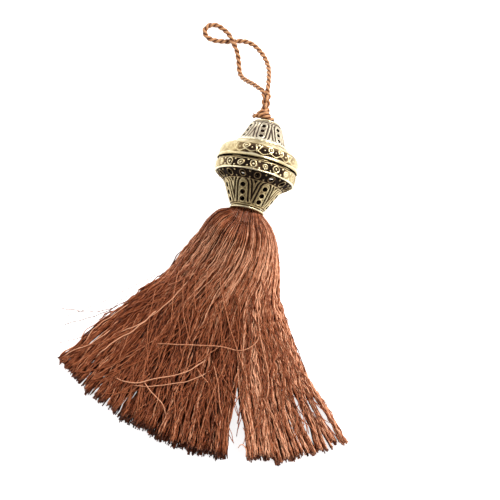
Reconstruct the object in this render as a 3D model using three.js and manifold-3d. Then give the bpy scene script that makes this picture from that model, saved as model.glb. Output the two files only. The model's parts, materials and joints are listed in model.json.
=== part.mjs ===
// A bead tassel lying on its side: a hollow pierced bead, threaded on a doubled cord whose knotted
// loop leaves the bead at one end, with a fanned-out skirt of yarn at the other.
// Millimetres, +Z up. The bead's axis lies along Y, with the loop towards +Y and the skirt towards -Y.
// In the model's own frame the axis is at X = 0 and the neck, the bead's lower face, is at Y = 0;
// the finished group is then moved so that its origin is the middle of its footprint at Z = 0.

import * as THREE from 'three';
import * as BufferGeometryUtils from 'three/addons/utils/BufferGeometryUtils.js';
import Module from 'manifold-3d';

const wasm = await Module();
wasm.setup();

// ---------------------------------------------------------------- driving dimensions

const GAP = 0.3; // clearance between neighbouring solids

const BEAD_RADIUS = 12.35; // at the seam, so the bead's axis lies this high
const BEAD_LENGTH = 28.4;
const BEAD_SEGMENTS = 32;
const SEAM_Y = 14.2;
const AXIS_HEIGHT = BEAD_RADIUS;
const TOP_COLLAR = { outer: 3.9, bore: 2.3, length: 0.65 };
const BOTTOM_COLLAR = { outer: 5.15, bore: 4.4, length: 0.8 };

const HOLE_COLUMNS = 7;
const HOLE_SIDES = 6;
const UPPER_HOLES = { radius: 0.5, turn: -8, along: [25.8, 24.0, 22.1], slope: 24 };
const LOWER_HOLES = { radius: 0.58, turn: -21.5, along: [6.2, 4.2, 2.3], slope: -28 };

const CORD_DIAMETER = 1.4;
const CORD_SIDES = 8;
const CORD_FLOOR = CORD_DIAMETER / 2 + 0.03; // height of the cord's centre where it lies on the surface

const KNOT = new THREE.Vector3(-1.3, 30.25, AXIS_HEIGHT);
const STEM_RADIUS = 1.35;
const STEM_END = new THREE.Vector3(-2.1, 36.4, 11.3); // the loop swings about the vertical line here

const FOLD = { arch: 1.0, thickness: 2.55, halfWidth: 1.6, centre: -0.2, foot: -0.85 };
const NECK_RADIUS = 4.7;
const NECK_FACE = -1.15;

const LOCK_START = 5.0; // distance of the locks' upper ends from the neck's centre
const LOCK_STATIONS = 15;
const LAYERS = [['under', 0, 0.5], ['over', 0.5, 1]];

// How far the skirt's edge stands from straight down the axis, in degrees, by distance from the neck.
const LEFT_EDGE = [[5, 66], [8.5, 76], [11, 70.5], [14.5, 59.5],
  [19.7, 49.5], [29.6, 41], [45, 40], [74, 38.6]];
const RIGHT_EDGE = [[5, 64], [7.2, 75], [10.1, 66.6], [13.9, 56],
  [18.7, 45], [27.8, 34.6], [42, 33.9], [77, 37.5]];
// The skirt's crown, underside and widest height along its middle, by distance from the neck.
const CROWN = [[5, 17.2], [9, 18.6], [14, 17.0], [22, 13.4], [34, 10.0], [52, 7.4], [77, 5.4]];
const UNDERSIDE = [[5, 7.6], [9, 3.2], [12, 0.7], [14, 0], [77, 0]];
const WAIST = [[5, AXIS_HEIGHT], [9, 8.6], [12, 4.4], [16, 0], [77, 0]];
const SIDE_ROUNDNESS = 0.93;

// Columns of locks from left to right. The edges are fractions of the skirt's edge angle.
const COLUMNS = [
  { name: 'left_lock_1', from: -1, to: -0.75, reach: 71.0 },
  { name: 'left_lock_2', from: -0.75, to: -0.5, reach: 72.0 },
  { name: 'left_lock_3', from: -0.5, to: -0.25, reach: 72.6 },
  { name: 'middle_lock_1', from: -0.25, to: 0, reach: 73.6 },
  { name: 'middle_lock_2', from: 0, to: 0.3, reach: 74.2, notchSide: 1 },
  { name: 'right_lock_1', from: 0.3, to: 0.53, reach: 74.6, notchSide: -1 },
  { name: 'right_lock_2', from: 0.53, to: 0.77, reach: 76.0 },
  { name: 'right_lock_3', from: 0.77, to: 1, reach: 75.4 },
];
const NOTCH = { top: 51, halfWidth: 2.4 }; // the skirt parts below this distance from the neck

// ---------------------------------------------------------------- materials

function brass(colour, roughness) {
  return new THREE.MeshStandardMaterial({ color: colour, roughness, metalness: 0.9 });
}

function twistedCord() {
  return new THREE.MeshStandardMaterial({ color: 0xc98456, roughness: 0.65, metalness: 0 });
}

function silkYarn(colour) {
  return new THREE.MeshStandardMaterial({ color: colour, roughness: 0.5, metalness: 0 });
}

// ---------------------------------------------------------------- solids

function toSolid(geometry) {
  const bare = geometry.clone();
  bare.deleteAttribute('normal');
  bare.deleteAttribute('uv');
  const merged = BufferGeometryUtils.mergeVertices(bare, 1e-4);
  const mesh = new wasm.Mesh({
    numProp: 3,
    vertProperties: new Float32Array(merged.attributes.position.array),
    triVerts: new Uint32Array(merged.index.array),
  });
  mesh.merge();
  return new wasm.Manifold(mesh);
}

function toGeometry(solid) {
  const mesh = solid.getMesh();
  const geometry = new THREE.BufferGeometry();
  geometry.setAttribute('position', new THREE.BufferAttribute(new Float32Array(mesh.vertProperties), 3));
  geometry.setIndex(new THREE.BufferAttribute(new Uint32Array(mesh.triVerts), 1));
  geometry.computeVertexNormals();
  return geometry;
}

function part(name, geometry, material) {
  const mesh = new THREE.Mesh(geometry, material);
  mesh.name = name;
  return mesh;
}

// Revolves a closed outline of [radius, y] points about the Y axis.
function turned(outline, segments) {
  const points = outline.map(([radius, y]) => new THREE.Vector2(radius, y));
  if (outline[0][0] > 0) {
    points.push(points[0].clone());
  }
  return new THREE.LatheGeometry(points, segments);
}

function polygon(radius, sides) {
  const shape = new THREE.Shape();
  for (let i = 0; i < sides; i += 1) {
    const angle = (i / sides) * Math.PI * 2;
    if (i === 0) {
      shape.moveTo(radius, 0);
    } else {
      shape.lineTo(radius * Math.cos(angle), radius * Math.sin(angle));
    }
  }
  shape.closePath();
  return shape;
}

function tube(points, radius, steps) {
  const path = new THREE.CatmullRomCurve3(points, false, 'centripetal');
  const options = { steps, extrudePath: path, bevelEnabled: false };
  return new THREE.ExtrudeGeometry(polygon(radius, CORD_SIDES), options);
}

function ellipsoid(centre, halfSizes) {
  const geometry = new THREE.SphereGeometry(1, 14, 9);
  geometry.scale(halfSizes[0], halfSizes[1], halfSizes[2]);
  geometry.translate(centre[0], centre[1], centre[2]);
  return geometry;
}

// Value of a [[x, value], ...] profile at x, on a smooth curve that doesn't overshoot its points.
function profileAt(profile, x) {
  const last = profile.length - 1;
  if (x <= profile[0][0]) {
    return profile[0][1];
  }
  if (x >= profile[last][0]) {
    return profile[last][1];
  }
  let i = 0;
  while (x > profile[i + 1][0]) {
    i += 1;
  }
  const slope = (k) => (profile[k + 1][1] - profile[k][1]) / (profile[k + 1][0] - profile[k][0]);
  const tangent = (k) => {
    if (k === 0) {
      return slope(0);
    }
    if (k === last) {
      return slope(last - 1);
    }
    const before = slope(k - 1);
    const after = slope(k);
    return before * after <= 0 ? 0 : (2 * before * after) / (before + after);
  };
  const width = profile[i + 1][0] - profile[i][0];
  const t = (x - profile[i][0]) / width;
  const h00 = (1 + 2 * t) * (1 - t) ** 2;
  const h10 = t * (1 - t) ** 2;
  const h01 = t * t * (3 - 2 * t);
  const h11 = t * t * (t - 1);
  return (h00 * profile[i][1] + h10 * width * tangent(i) + h01 * profile[i + 1][1]
    + h11 * width * tangent(i + 1));
}

// ---------------------------------------------------------------- bead

// Bores a column of holes at each of the bead's panels, square to a cone of the given slope.
function pierced(geometry, holes, radiusAt) {
  let solid = toSolid(geometry);
  const slope = THREE.MathUtils.degToRad(holes.slope);
  for (let column = 0; column < HOLE_COLUMNS; column += 1) {
    const turn = THREE.MathUtils.degToRad(holes.turn + (column * 360) / HOLE_COLUMNS);
    const outward = new THREE.Vector3(
      Math.cos(slope) * Math.sin(turn), Math.sin(slope), Math.cos(slope) * Math.cos(turn));
    const lie = new THREE.Quaternion().setFromUnitVectors(new THREE.Vector3(0, 1, 0), outward);
    for (const y of holes.along) {
      const radius = radiusAt(y);
      const drill = new THREE.CylinderGeometry(holes.radius, holes.radius, 3, HOLE_SIDES);
      drill.applyQuaternion(lie);
      drill.translate(radius * Math.sin(turn), y, radius * Math.cos(turn));
      solid = solid.subtract(toSolid(drill));
    }
  }
  return toGeometry(solid);
}

function upperShell() {
  const lip = SEAM_Y + GAP / 2;
  const outside = [[12.35, lip], [12.1, 14.8], [12.0, 15.8], [11.9, 17.3], [11.35, 18.5], [10.1, 19.4],
    [7.9, 20.8], [7.6, 21.2], [6.5, 23.2], [5.65, 25.0], [4.6, 27.4]];
  const inside = [[3.6, 27.4], [4.8, 25.0], [5.65, 23.1], [6.75, 20.9], [7.1, 20.2], [9.3, 19.0],
    [10.5, 18.1], [11.1, 17.0], [11.45, lip]];
  const radiusAt = (y) => profileAt([[21.2, 7.6], [23.2, 6.5], [25.0, 5.65], [27.4, 4.6]], y);
  const geometry = pierced(turned([...outside, ...inside], BEAD_SEGMENTS), UPPER_HOLES, radiusAt);
  return part('upper_shell', geometry, brass(0xb7a66c, 0.38));
}

function lowerShell() {
  const lip = SEAM_Y - GAP / 2;
  const outside = [[5.2, 1.1], [5.5, 1.9], [6.6, 3.7], [7.8, 6.0], [9.0, 8.3], [9.8, 9.0], [10.7, 9.3],
    [11.3, 9.8], [11.9, 10.9], [12.2, 11.6], [12.35, 13.0], [12.2, lip]];
  const inside = [[11.45, lip], [11.4, 12.2], [11.0, 11.1], [10.5, 10.3], [9.9, 9.9], [8.0, 8.2],
    [6.9, 5.9], [5.75, 3.6], [4.45, 1.1]];
  const radiusAt = (y) => profileAt([[1.1, 5.2], [1.9, 5.5], [3.7, 6.6], [6.0, 7.8], [8.3, 9.0]], y);
  const geometry = pierced(turned([...outside, ...inside], BEAD_SEGMENTS), LOWER_HOLES, radiusAt);
  return part('lower_shell', geometry, brass(0xa8985c, 0.42));
}

function collar(name, size, start) {
  const end = start + size.length;
  const chamfer = 0.15;
  const outline = [[size.bore, start], [size.outer - chamfer, start], [size.outer, start + chamfer],
    [size.outer, end - chamfer], [size.outer - chamfer, end], [size.bore, end]];
  return part(name, turned(outline, BEAD_SEGMENTS), brass(0xcdbf8a, 0.3));
}

function beadParts() {
  const bead = new THREE.Group();
  bead.position.z = AXIS_HEIGHT;
  bead.add(upperShell());
  bead.add(lowerShell());
  bead.add(collar('top_collar', TOP_COLLAR, BEAD_LENGTH - TOP_COLLAR.length));
  bead.add(collar('bottom_collar', BOTTOM_COLLAR, 0));
  return bead;
}

// ---------------------------------------------------------------- cord

// The cord's doubled length inside the bead: two legs from the knot that join in a U at the neck.
function coreCord() {
  const halfRoute = [[0.8, 28.35], [0.8, 24], [0.8, 19], [0.9, 14], [1.9, 8.6], [3.0, 4.4], [3.1, 2.2],
    [2.8, 0.8], [2.0, 0.0], [1.1, FOLD.centre]];
  const right = halfRoute.map(([x, y]) => new THREE.Vector3(x, y, AXIS_HEIGHT));
  const left = halfRoute.map(([x, y]) => new THREE.Vector3(-x, y, AXIS_HEIGHT)).reverse();
  const bottom = new THREE.Vector3(0, FOLD.centre, AXIS_HEIGHT);
  const geometry = tube([...right, bottom, ...left], CORD_DIAMETER / 2, 44);
  return part('core_cord', geometry, twistedCord());
}

// The knot that holds the bead, with its cut end on the left and a turn of cord on the right.
function topKnot() {
  const body = toSolid(ellipsoid(KNOT.toArray(), [1.9, 1.5, 1.6]));
  const cutEnd = toSolid(ellipsoid([KNOT.x - 1.6, KNOT.y - 0.75, KNOT.z], [1.5, 0.75, 0.95]));
  const turn = toSolid(ellipsoid([KNOT.x + 1.6, KNOT.y - 0.8, KNOT.z], [1.6, 0.7, 0.95]));
  return part('top_knot', toGeometry(body.add(cutEnd).add(turn)), twistedCord());
}

// The first stretch above the knot, where the loop's two legs are twisted into one round stem.
function loopStem() {
  const from = new THREE.Vector3(KNOT.x - 0.15, KNOT.y + 2.0, KNOT.z - 0.1);
  const middle = new THREE.Vector3(-1.75, 34.3, 12.0);
  const shaft = toSolid(tube([from, middle, STEM_END], STEM_RADIUS, 5));
  const roundEnd = new THREE.SphereGeometry(STEM_RADIUS, 10, 8);
  roundEnd.translate(STEM_END.x, STEM_END.y, STEM_END.z);
  return part('loop_stem', toGeometry(shaft.add(toSolid(roundEnd))), twistedCord());
}

// The open loop: out along the right leg, round the small eye, over itself and back on the left leg.
function loopRoute() {
  const lying = CORD_FLOOR;
  const hump = CORD_FLOOR + CORD_DIAMETER + 0.35;
  const rightLeg = [[-2.2, 38.3, 11.1], [-2.3, 40.0, 10.3], [-2.7, 42.8, 9.0], [-3.4, 46.1, 7.0],
    [-5.0, 49.1, 5.2], [-7.1, 51.5, 3.5], [-9.9, 53.5, 1.9], [-13.0, 54.0, 1.0], [-15.9, 53.2, lying]];
  const eye = [[-18.7, 52.6, lying], [-21.4, 52.3, lying], [-23.6, 52.8, lying], [-24.8, 54.4, lying],
    [-24.0, 56.3, lying], [-21.7, 57.0, lying + 0.1], [-19.1, 56.0, 1.3], [-17.2, 54.5, 2.1]];
  const leftLeg = [[-15.8, 52.7, hump], [-14.2, 50.8, 1.9], [-13.0, 48.5, 1.1], [-12.2, 46.1, lying],
    [-11.6, 44.3, 0.9], [-10.5, 42.7, 2.0], [-9.0, 41.5, 4.1], [-6.9, 40.3, 6.6], [-5.1, 39.1, 8.6],
    [-3.7, 38.1, 10.1]];
  return [...rightLeg, ...eye, ...leftLeg].map(([x, y, z]) => new THREE.Vector3(x, y, z));
}

function hangingLoop() {
  return part('hanging_loop', tube(loopRoute(), CORD_DIAMETER / 2, 72), twistedCord());
}

// ---------------------------------------------------------------- yarn

// The yarn bundle's fold, an arch that hangs over the bottom of the cord's U.
function strandFold() {
  const inner = FOLD.arch;
  const outer = FOLD.arch + FOLD.thickness;
  const shape = new THREE.Shape();
  shape.moveTo(outer, FOLD.foot);
  shape.lineTo(outer, FOLD.centre);
  shape.absarc(0, FOLD.centre, outer, 0, Math.PI, false);
  shape.lineTo(-outer, FOLD.foot);
  shape.lineTo(-inner, FOLD.foot);
  shape.lineTo(-inner, FOLD.centre);
  shape.absarc(0, FOLD.centre, inner, Math.PI, 0, true);
  shape.lineTo(inner, FOLD.foot);
  shape.closePath();
  const options = { depth: 2 * FOLD.halfWidth, bevelEnabled: false, curveSegments: 10 };
  const geometry = new THREE.ExtrudeGeometry(shape, options);
  geometry.translate(0, 0, -FOLD.halfWidth);
  geometry.rotateY(Math.PI / 2);
  geometry.translate(0, 0, AXIS_HEIGHT);
  return part('strand_fold', geometry, silkYarn(0x7a4028));
}

// The bundle just below the bead, where the strands start to spread.
function bundleNeck() {
  const outline = [[0, -NECK_RADIUS]];
  const steps = 5;
  const top = Math.acos(-NECK_FACE / NECK_RADIUS);
  for (let i = 1; i <= steps; i += 1) {
    const angle = (top * i) / steps;
    outline.push([NECK_RADIUS * Math.sin(angle), -NECK_RADIUS * Math.cos(angle)]);
  }
  outline.push([0, NECK_FACE]);
  const geometry = turned(outline, 20);
  geometry.translate(0, 0, AXIS_HEIGHT);
  return part('bundle_neck', geometry, silkYarn(0x7a4028));
}

// A point of the skirt: across from -1, its left edge, to 1, its right edge; up from 0, its
// underside, to 1, its upper side; at a distance from the neck, and set over sideways by shift.
function skirtPoint(across, up, distance, shift) {
  const edge = profileAt(across < 0 ? LEFT_EDGE : RIGHT_EDGE, distance);
  const angle = THREE.MathUtils.degToRad(across * edge) + shift / distance;
  const roundness = Math.sqrt(1 - (SIDE_ROUNDNESS * across) ** 2);
  const waist = profileAt(WAIST, distance);
  const crown = waist + (profileAt(CROWN, distance) - waist) * roundness;
  const underside = waist + (profileAt(UNDERSIDE, distance) - waist) * roundness;
  const z = underside + (crown - underside) * up;
  return new THREE.Vector3(distance * Math.sin(angle), -distance * Math.cos(angle), z);
}

// Half the width of the parting between the middle and right locks, beyond the usual gap.
function notchOpening(distance) {
  const t = THREE.MathUtils.clamp((distance - NOTCH.top) / 16, 0, 1);
  return NOTCH.halfWidth * t * (2 - t);
}

// Joins rings of points, all of the same count, into one closed body with flat ends.
function lofted(rings) {
  const count = rings[0].length;
  const positions = rings.flat().flatMap((point) => point.toArray());
  const indices = [];
  for (let ring = 0; ring < rings.length - 1; ring += 1) {
    for (let i = 0; i < count; i += 1) {
      const a = ring * count + i;
      const b = ring * count + ((i + 1) % count);
      indices.push(a, b, b + count);
      indices.push(a, b + count, a + count);
    }
  }
  const end = (rings.length - 1) * count;
  for (let i = 1; i < count - 1; i += 1) {
    indices.push(0, i + 1, i);
    indices.push(end, end + i, end + i + 1);
  }
  const geometry = new THREE.BufferGeometry();
  geometry.setAttribute('position', new THREE.Float32BufferAttribute(positions, 3));
  geometry.setIndex(indices);
  geometry.computeVertexNormals();
  return geometry;
}

// One lock of yarn: the strands of one column and one layer, from the neck to their cut ends.
function lock(column, layer) {
  const [layerName, low, high] = layer;
  const middle = (column.from + column.to) / 2;
  const rings = [];
  for (let i = 0; i <= LOCK_STATIONS; i += 1) {
    const share = i / LOCK_STATIONS;
    const distance = LOCK_START + (column.reach - LOCK_START) * share ** 1.35;
    const leftShift = GAP / 2 + (column.notchSide === -1 ? notchOpening(distance) : 0);
    const rightShift = -GAP / 2 - (column.notchSide === 1 ? notchOpening(distance) : 0);
    const middleShift = (leftShift + rightShift) / 2;
    const sides = [[column.from, leftShift], [middle, middleShift], [column.to, rightShift]];
    const under = sides.map(([across, shift]) => skirtPoint(across, low, distance, shift));
    const over = sides.map(([across, shift]) => skirtPoint(across, high, distance, shift));
    const lift = low > 0 ? GAP / 2 : 0;
    const drop = high < 1 ? GAP / 2 : 0;
    under.forEach((point) => point.setZ(point.z + lift));
    over.forEach((point) => point.setZ(point.z - drop));
    rings.push([...under, ...over.reverse()]);
  }
  const colour = low > 0 ? 0x9a5636 : 0x7c4229;
  return part(`${column.name}_${layerName}`, lofted(rings), silkYarn(colour));
}

function skirtParts() {
  const skirt = new THREE.Group();
  for (const column of COLUMNS) {
    for (const layer of LAYERS) {
      skirt.add(lock(column, layer));
    }
  }
  return skirt;
}

// ---------------------------------------------------------------- assembly

function tassel() {
  const body = new THREE.Group();
  body.add(beadParts());
  body.add(coreCord());
  body.add(topKnot());
  body.add(strandFold());
  body.add(bundleNeck());
  body.add(skirtParts());
  const footprint = new THREE.Box3().setFromObject(body);
  body.add(loopStem());
  body.add(hangingLoop());
  const middle = footprint.getCenter(new THREE.Vector3());
  body.position.set(-middle.x, -middle.y, -footprint.min.z);
  const group = new THREE.Group();
  group.add(body);
  return group;
}

export default tassel();
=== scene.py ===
import json
import math

import bpy
import numpy as np
from mathutils import Matrix, Vector

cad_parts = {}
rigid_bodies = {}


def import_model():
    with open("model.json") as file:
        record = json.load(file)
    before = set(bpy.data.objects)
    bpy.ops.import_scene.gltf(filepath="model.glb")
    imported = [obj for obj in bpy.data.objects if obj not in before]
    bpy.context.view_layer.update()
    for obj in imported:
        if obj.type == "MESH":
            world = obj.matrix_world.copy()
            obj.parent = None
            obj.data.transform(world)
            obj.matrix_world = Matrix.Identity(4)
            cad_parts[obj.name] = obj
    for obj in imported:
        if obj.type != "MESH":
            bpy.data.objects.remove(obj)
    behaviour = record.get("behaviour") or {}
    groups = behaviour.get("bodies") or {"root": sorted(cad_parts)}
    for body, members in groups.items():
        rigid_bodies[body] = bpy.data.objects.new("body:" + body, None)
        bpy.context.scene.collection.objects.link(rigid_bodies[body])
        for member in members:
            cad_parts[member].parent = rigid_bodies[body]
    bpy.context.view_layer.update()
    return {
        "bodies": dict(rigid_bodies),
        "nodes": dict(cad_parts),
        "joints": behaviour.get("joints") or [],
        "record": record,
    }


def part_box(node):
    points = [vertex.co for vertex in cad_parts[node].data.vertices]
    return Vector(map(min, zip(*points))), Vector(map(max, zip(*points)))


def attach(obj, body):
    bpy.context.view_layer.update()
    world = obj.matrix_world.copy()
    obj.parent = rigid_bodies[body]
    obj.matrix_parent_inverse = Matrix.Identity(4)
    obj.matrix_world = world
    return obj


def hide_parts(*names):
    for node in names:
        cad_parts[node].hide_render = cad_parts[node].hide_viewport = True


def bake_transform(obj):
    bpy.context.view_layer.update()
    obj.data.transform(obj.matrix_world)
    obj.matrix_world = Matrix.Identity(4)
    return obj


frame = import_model()

# A bead tassel lying on a pale surface. Lengths are in millimetres in the tassel's own frame, with
# x = 0 on the bead's axis, y = 0 at the neck (the bead's lower face) and z = 0 on the surface, and
# placed() turns them into the row frame.

MM = 0.001
COLLAR_LOW, COLLAR_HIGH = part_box("bottom_collar")
SHELL_LOW, SHELL_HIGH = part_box("lower_shell")
ORIGIN = np.array([(SHELL_LOW[0] + SHELL_HIGH[0]) / 2, COLLAR_LOW[1], 0.0])
AXIS_HEIGHT = (SHELL_LOW[2] + SHELL_HIGH[2]) / 2 / MM
TAU = 2 * math.pi

CORD_DIAMETER = 1.4
CORD_FLOOR = CORD_DIAMETER / 2 + 0.03
KNOT = np.array([-1.3, 30.25, AXIS_HEIGHT])
STEM_END = np.array([-2.1, 36.4, 11.3])


def placed(points):
    """Points in millimetres in the tassel's frame, as metres in the row frame."""
    return np.asarray(points, float) * MM + ORIGIN


def smoothstep(low, high, x):
    t = np.clip((np.asarray(x, float) - low) / (high - low), 0, 1)
    return t * t * (3 - 2 * t)


# ---------------------------------------------------------------- camera

CAMERA_ELEVATION = math.radians(77)
CAMERA_ROLL = math.radians(13.2)
CAMERA_DISTANCE = 3.0
FRAME_WIDTH = 0.150
NECK_FROM_CENTRE = (-1.08, 11.46)  # the neck, right of and above the picture's centre, in mm


def add_camera():
    toward = Vector((0, math.cos(CAMERA_ELEVATION), -math.sin(CAMERA_ELEVATION)))
    flat_up = Vector((0, math.sin(CAMERA_ELEVATION), math.cos(CAMERA_ELEVATION)))
    flat_right = Vector((1, 0, 0))
    right = math.cos(CAMERA_ROLL) * flat_right + math.sin(CAMERA_ROLL) * flat_up
    up = -math.sin(CAMERA_ROLL) * flat_right + math.cos(CAMERA_ROLL) * flat_up
    neck = Vector(placed([0, 0, AXIS_HEIGHT]))
    target = neck - (right * NECK_FROM_CENTRE[0] + up * NECK_FROM_CENTRE[1]) * MM
    data = bpy.data.cameras.new("camera")
    data.sensor_width = 36
    data.lens = 36 * CAMERA_DISTANCE / FRAME_WIDTH
    data.clip_start = 0.01
    camera = bpy.data.objects.new("camera", data)
    turn = Matrix((right, up, -toward)).transposed().to_4x4()
    camera.matrix_world = Matrix.Translation(target - toward * CAMERA_DISTANCE) @ turn
    bpy.context.scene.collection.objects.link(camera)
    bpy.context.scene.camera = camera


# ---------------------------------------------------------------- mesh tools

def mesh_object(name, points, faces, attributes=None):
    """A smooth mesh object of points in metres and faces, with float point attributes."""
    mesh = bpy.data.meshes.new(name)
    if isinstance(faces, np.ndarray):
        add_quads(mesh, points, faces)
    else:
        mesh.from_pydata(points, [], faces)
    for key, values in (attributes or {}).items():
        layer = mesh.attributes.new(key, "FLOAT", "POINT")
        layer.data.foreach_set("value", np.asarray(values, np.float32).ravel())
    mesh.polygons.foreach_set("use_smooth", np.ones(len(mesh.polygons), bool))
    mesh.update(calc_edges=True)
    piece = bpy.data.objects.new(name, mesh)
    bpy.context.scene.collection.objects.link(piece)
    return piece


def add_quads(mesh, points, quads):
    mesh.vertices.add(len(points))
    mesh.vertices.foreach_set("co", np.asarray(points, np.float32).ravel())
    mesh.loops.add(quads.size)
    mesh.loops.foreach_set("vertex_index", quads.astype(np.int32).ravel())
    mesh.polygons.add(len(quads))
    mesh.polygons.foreach_set("loop_start", np.arange(len(quads), dtype=np.int32) * 4)
    mesh.polygons.foreach_set("loop_total", np.full(len(quads), 4, np.int32))


def finished(piece, material, body, nodes=()):
    """Gives a piece its material and body, and hides the CAD nodes that it stands for."""
    piece.data.materials.append(material)
    if body:
        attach(piece, body)
    if nodes:
        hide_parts(*nodes)
    return piece


def catmull_rom(points, step):
    """Evenly spaced points, step apart, on the centripetal Catmull-Rom curve through points."""
    p = np.asarray(points, float)
    p = np.vstack([2 * p[0] - p[1], p, 2 * p[-1] - p[-2]])
    dense = []
    for i in range(1, len(p) - 2):
        quad = p[i - 1:i + 3]
        knots = [0.0]
        for k in range(3):
            knots.append(knots[-1] + max(np.linalg.norm(quad[k + 1] - quad[k]), 1e-6) ** 0.5)
        t = np.linspace(knots[1], knots[2], 24, endpoint=False)[:, None]
        a = [((knots[k + 1] - t) * quad[k] + (t - knots[k]) * quad[k + 1]) / (knots[k + 1] - knots[k])
             for k in range(3)]
        b = [((knots[k + 2] - t) * a[k] + (t - knots[k]) * a[k + 1]) / (knots[k + 2] - knots[k])
             for k in range(2)]
        dense.append(((knots[2] - t) * b[0] + (t - knots[1]) * b[1]) / (knots[2] - knots[1]))
    dense = np.vstack(dense + [p[-2][None]])
    return resampled(dense, step)


def resampled(points, step):
    reach = np.concatenate([[0], np.cumsum(np.linalg.norm(np.diff(points, axis=0), axis=1))])
    at = np.linspace(0, reach[-1], max(4, int(round(reach[-1] / step)) + 1))
    return np.stack([np.interp(at, reach, points[:, k]) for k in range(3)], axis=1)


def carried_frames(path):
    """Unit side and up vectors along a path, carried along it without twisting."""
    tangents = np.gradient(path, axis=0)
    tangents /= np.linalg.norm(tangents, axis=1)[:, None]
    side = np.cross(tangents[0], [0, 0, 1.0])
    if np.linalg.norm(side) < 0.2:
        side = np.cross(tangents[0], [0, 1.0, 0])
    sides = []
    for tangent in tangents:
        side = side - tangent * np.dot(side, tangent)
        side = side / np.linalg.norm(side)
        sides.append(side)
    sides = np.array(sides)
    return sides, np.cross(sides, tangents)


def tube_mesh(path, side, up, radius, sides, ripple=0.0, ripples=6, ripple_turn=0.0):
    """Points and faces of a closed tube; ripple gives its skin lengthways grooves that twist."""
    count = len(path)
    radius = np.broadcast_to(np.asarray(radius, float), (count,))
    angles = np.arange(sides) / sides * TAU
    turn = np.linspace(0, 1, count)[:, None] * ripple_turn
    swell = 1 + ripple * np.cos(ripples * angles[None] + turn)
    ring = (np.cos(angles)[None, :, None] * side[:, None] + np.sin(angles)[None, :, None] * up[:, None])
    points = path[:, None] + ring * (radius[:, None] * swell)[..., None]
    faces = grid_faces(count, sides)
    caps = [list(range(sides))[::-1], list(range((count - 1) * sides, count * sides))]
    return points.reshape(-1, 3), faces, caps


def grid_faces(rows, columns, start=0):
    """Quads of a grid whose columns close on themselves."""
    i = np.arange(rows - 1)[:, None] * columns
    j = np.arange(columns)[None]
    k = (np.arange(columns)[None] + 1) % columns
    quads = np.stack([i + j, i + k, i + columns + k, i + columns + j], axis=-1)
    return quads.reshape(-1, 4) + start


def joined(parts):
    """Joins (points, quads, caps) parts into one list of points and one of faces."""
    points, faces, start = [], [], 0
    for part_points, quads, caps in parts:
        points.append(part_points)
        faces.extend((quads + start).tolist())
        faces.extend([[index + start for index in cap] for cap in caps])
        start += len(part_points)
    return np.vstack(points), faces


# ---------------------------------------------------------------- materials

def new_material(name):
    material = bpy.data.materials.new(name)
    material.use_nodes = True
    nodes = material.node_tree.nodes
    shader = nodes["Principled BSDF"]
    return material, nodes, material.node_tree.links, shader


def ramp(nodes, stops):
    node = nodes.new("ShaderNodeValToRGB")
    elements = node.color_ramp.elements
    while len(elements) < len(stops):
        elements.new(0.5)
    for element, (position, colour) in zip(elements, stops):
        element.position = position
        element.color = (*colour, 1)
    return node


def noise(nodes, links, scale, detail=4.0, roughness=0.6):
    coordinates = nodes.new("ShaderNodeTexCoord")
    texture = nodes.new("ShaderNodeTexNoise")
    texture.inputs["Scale"].default_value = scale
    texture.inputs["Detail"].default_value = detail
    texture.inputs["Roughness"].default_value = roughness
    links.new(coordinates.outputs["Object"], texture.inputs["Vector"])
    return texture


def attribute(nodes, name):
    node = nodes.new("ShaderNodeAttribute")
    node.attribute_name = name
    return node


def math_node(nodes, links, operation, a, b, clamp=False):
    node = nodes.new("ShaderNodeMath")
    node.operation = operation
    node.use_clamp = clamp
    for socket, value in zip(node.inputs, (a, b)):
        if isinstance(value, (int, float)):
            socket.default_value = value
        else:
            links.new(value, socket)
    return node.outputs[0]


def swing(nodes, links, texture, amount):
    """A noise texture's value, centred on 0 and scaled by amount."""
    centred = math_node(nodes, links, "SUBTRACT", texture.outputs["Fac"], 0.5)
    return math_node(nodes, links, "MULTIPLY", centred, amount)


def bump(nodes, links, shader, height, strength, distance):
    node = nodes.new("ShaderNodeBump")
    node.inputs["Strength"].default_value = strength
    node.inputs["Distance"].default_value = distance
    links.new(height, node.inputs["Height"])
    links.new(node.outputs["Normal"], shader.inputs["Normal"])


def brass_material(name, stops, painted_reflection=None):
    """Antique brass: worn bright on what stands out, dark patina where the relief is low, darker where
    painted shade lowers the relief level, and a paler painted reflection where one is given.
    """
    material, nodes, links, shader = new_material(name)
    relief = attribute(nodes, "relief")
    mottle = noise(nodes, links, 900, 5, 0.65)
    spots = noise(nodes, links, 260, 3, 0.5)
    drifted = math_node(nodes, links, "ADD", relief.outputs["Fac"], swing(nodes, links, mottle, 0.4))
    level = math_node(nodes, links, "ADD", drifted, swing(nodes, links, spots, 0.4), True)
    colours = ramp(nodes, stops)
    links.new(level, colours.inputs["Fac"])
    colour = colours.outputs["Color"]
    # Painted reflection: a paler ramp blended in by a per-point attribute.
    if painted_reflection:
        pale = ramp(nodes, painted_reflection)
        links.new(level, pale.inputs["Fac"])
        blend = nodes.new("ShaderNodeMixRGB")
        links.new(attribute(nodes, "painted_reflection").outputs["Fac"], blend.inputs["Fac"])
        links.new(colour, blend.inputs["Color1"])
        links.new(pale.outputs["Color"], blend.inputs["Color2"])
        colour = blend.outputs["Color"]
    links.new(colour, shader.inputs["Base Color"])
    rough = ramp(nodes, [(0.0, (0.8,) * 3), (0.45, (0.5,) * 3), (0.7, (0.38,) * 3), (0.95, (0.31,) * 3)])
    links.new(level, rough.inputs["Fac"])
    links.new(rough.outputs["Color"], shader.inputs["Roughness"])
    metal = ramp(nodes, [(0.0, (0.85,) * 3), (0.4, (0.95,) * 3), (0.7, (1.0,) * 3)])
    links.new(level, metal.inputs["Fac"])
    links.new(metal.outputs["Color"], shader.inputs["Metallic"])
    grain = noise(nodes, links, 2600, 3, 0.6)
    bump(nodes, links, shader, grain.outputs["Fac"], 0.35, 0.00012)
    return material


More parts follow.
